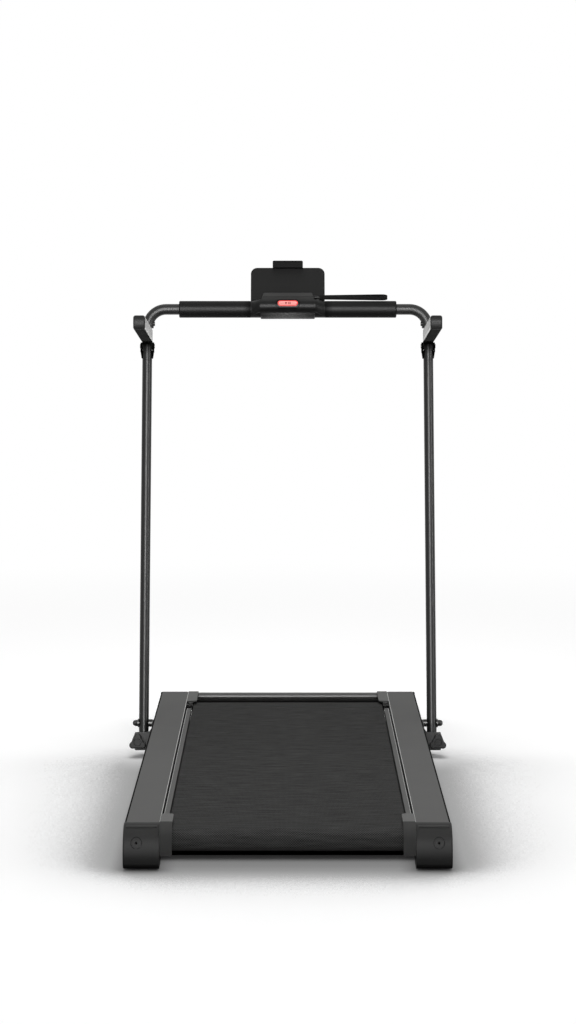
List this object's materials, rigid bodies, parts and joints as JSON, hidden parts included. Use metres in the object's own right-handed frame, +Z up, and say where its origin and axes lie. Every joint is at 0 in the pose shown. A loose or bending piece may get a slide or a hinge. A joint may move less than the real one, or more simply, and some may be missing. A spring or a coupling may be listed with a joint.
{
  "type": "folding treadmill",
  "caption": "Slim folding walking treadmill with a low belt deck, leaning uprights, side arms and a handlebar that carries a small console and tablet rest.",
  "frame": {"origin": "floor level under the middle of the deck", "axes": "+Z up, +Y the way the user faces, +X to the user's right"},
  "size_m": [0.6638, 1.27, 1.0349],
  "materials": {
    "rail_aluminium": "dark grey fine-textured powder coat",
    "cap_plastic": "fine moulded texture",
    "guard_plastic": "satin moulded",
    "belt_rubber": "woven diamond top",
    "board_wood": "waxed black laminate",
    "rubber": "matte",
    "steel": "zinc plated",
    "dark_hardware": "black nickel",
    "black_steel": "satin black powder coat",
    "bracket_steel": "grey powder coat",
    "motor_core": "laminated",
    "winding_copper": "enamelled wire",
    "black_plastic": "fine moulded texture",
    "belly_plastic": "speckled semi-gloss",
    "inlay_silver": "brushed",
    "foam": "closed-cell foam",
    "display": "smoked",
    "button_red": "lit translucent red",
    "circuit_board": "solder mask",
    "strap_webbing": "woven webbing"
  },
  "bodies": {
    "deck": {"adjuster_bolts": "steel", "adjuster_plugs": "cap_plastic", "belly_pan": "cap_plastic", "controller_box": "cap_plastic", "cross_members": "black_steel", "deck_cushions": "rubber", "drum_axle": "steel", "drum_axle_blocks": "steel", "drum_stator": "motor_core", "floor_feet": "rubber", "front_bar": "black_steel", "front_belt_guards": "guard_plastic", "front_cover": "cap_plastic", "front_end_cap_left": "cap_plastic", "front_end_cap_right": "cap_plastic", "pivot_bolts": "dark_hardware", "power_inlet": "black_plastic", "rear_belt_guards": "guard_plastic", "rear_end_cap_left": "cap_plastic", "rear_end_cap_right": "cap_plastic", "rear_roller_axle": "steel", "roller_bearings": "steel", "running_belt": "belt_rubber", "running_board": "board_wood", "side_rail_left": "rail_aluminium", "side_rail_right": "rail_aluminium", "stator_windings": "winding_copper", "switch_frame": "black_plastic", "upright_bracket_left": "bracket_steel", "upright_bracket_right": "bracket_steel", "wheel_axles": "steel"},
    "handrail": {"upright_tube_left": "black_steel", "upright_tube_right": "black_steel", "hinge_clevis_left": "black_plastic", "hinge_clevis_right": "black_plastic", "hinge_bolts": "dark_hardware"},
    "handlebar": {"side_arm_left": "black_plastic", "side_arm_right": "black_plastic", "arm_inlays": "inlay_silver", "handlebar_tube": "black_steel", "bar_collars": "black_steel", "grip_sleeves": "foam", "console_housing": "black_plastic", "console_belly": "belly_plastic", "display_panel": "display", "button_bezel": "black_plastic", "console_board": "circuit_board", "tablet_rest": "black_plastic"},
    "lock_knob_left": {"lock_knob_left": "black_plastic"},
    "lock_knob_right": {"lock_knob_right": "black_plastic"},
    "transport_wheel_left": {"transport_wheel_left": "rubber"},
    "transport_wheel_right": {"transport_wheel_right": "rubber"},
    "front_drum": {"front_drum": "steel", "drum_magnets": "motor_core"},
    "rear_roller": {"rear_roller": "steel"},
    "start_button": {"start_button": "button_red"},
    "phone_clip": {"phone_clip": "black_plastic"},
    "safety_plug": {"safety_plug": "black_plastic", "wrist_strap": "strap_webbing"},
    "power_rocker": {"power_rocker": "black_plastic"}
  },
  "joints": [
    {"name": "handrail_fold", "type": "hinge", "parent": "deck", "child": "handrail", "pos_m": [0, 0.3, 0.066], "axis": [1, 0, 0], "range_deg": [0, 95]},
    {"name": "arm_fold", "type": "hinge", "parent": "handrail", "child": "handlebar", "pos_m": [0, 0.41389, 0.85483], "axis": [1, 0, 0], "range_deg": [-90, 0]},
    {"name": "front_drum_spin", "type": "hinge", "parent": "deck", "child": "front_drum", "pos_m": [0, 0.503, 0.0442], "axis": [1, 0, 0], "continuous": true},
    {"name": "rear_roller_spin", "type": "hinge", "parent": "deck", "child": "rear_roller", "pos_m": [0, -0.599, 0.0485], "axis": [1, 0, 0], "continuous": true},
    {"name": "start_button_press", "type": "slide", "parent": "handlebar", "child": "start_button", "axis": [0, 0.8988, -0.4384], "range_m": [0, 0.0015], "stiffness_N_per_m": 400},
    {"name": "phone_clip_slide", "type": "slide", "parent": "handlebar", "child": "phone_clip", "axis": [0, 0.3907, 0.9205], "range_m": [0, 0.03], "stiffness_N_per_m": 80},
    {"name": "safety_plug_pull", "type": "slide", "parent": "handlebar", "child": "safety_plug", "axis": [1, 0, 0], "range_m": [0, 0.02]},
    {"name": "power_rocker_tilt", "type": "hinge", "parent": "deck", "child": "power_rocker", "pos_m": [-0.104, 0.595, 0.032], "axis": [1, 0, 0], "range_deg": [-18, 0]},
    {"name": "lock_knob_left_turn", "type": "hinge", "parent": "deck", "child": "lock_knob_left", "pos_m": [-0.3147, 0.26493, 0.03205], "axis": [0, -0.9903, 0.1392], "continuous": true},
    {"name": "transport_wheel_left_spin", "type": "hinge", "parent": "deck", "child": "transport_wheel_left", "pos_m": [-0.255, 0.6115, 0.02], "axis": [1, 0, 0], "continuous": true},
    {"name": "lock_knob_right_turn", "type": "hinge", "parent": "deck", "child": "lock_knob_right", "pos_m": [0.3147, 0.26493, 0.03205], "axis": [0, -0.9903, 0.1392], "continuous": true},
    {"name": "transport_wheel_right_spin", "type": "hinge", "parent": "deck", "child": "transport_wheel_right", "pos_m": [0.255, 0.6115, 0.02], "axis": [1, 0, 0], "continuous": true}
  ],
  "couplings": [
    {"joint": "arm_fold", "follows": "handrail_fold", "ratio": -0.94737},
    {"joint": "rear_roller_spin", "follows": "front_drum_spin", "ratio": 1.2299}
  ]
}
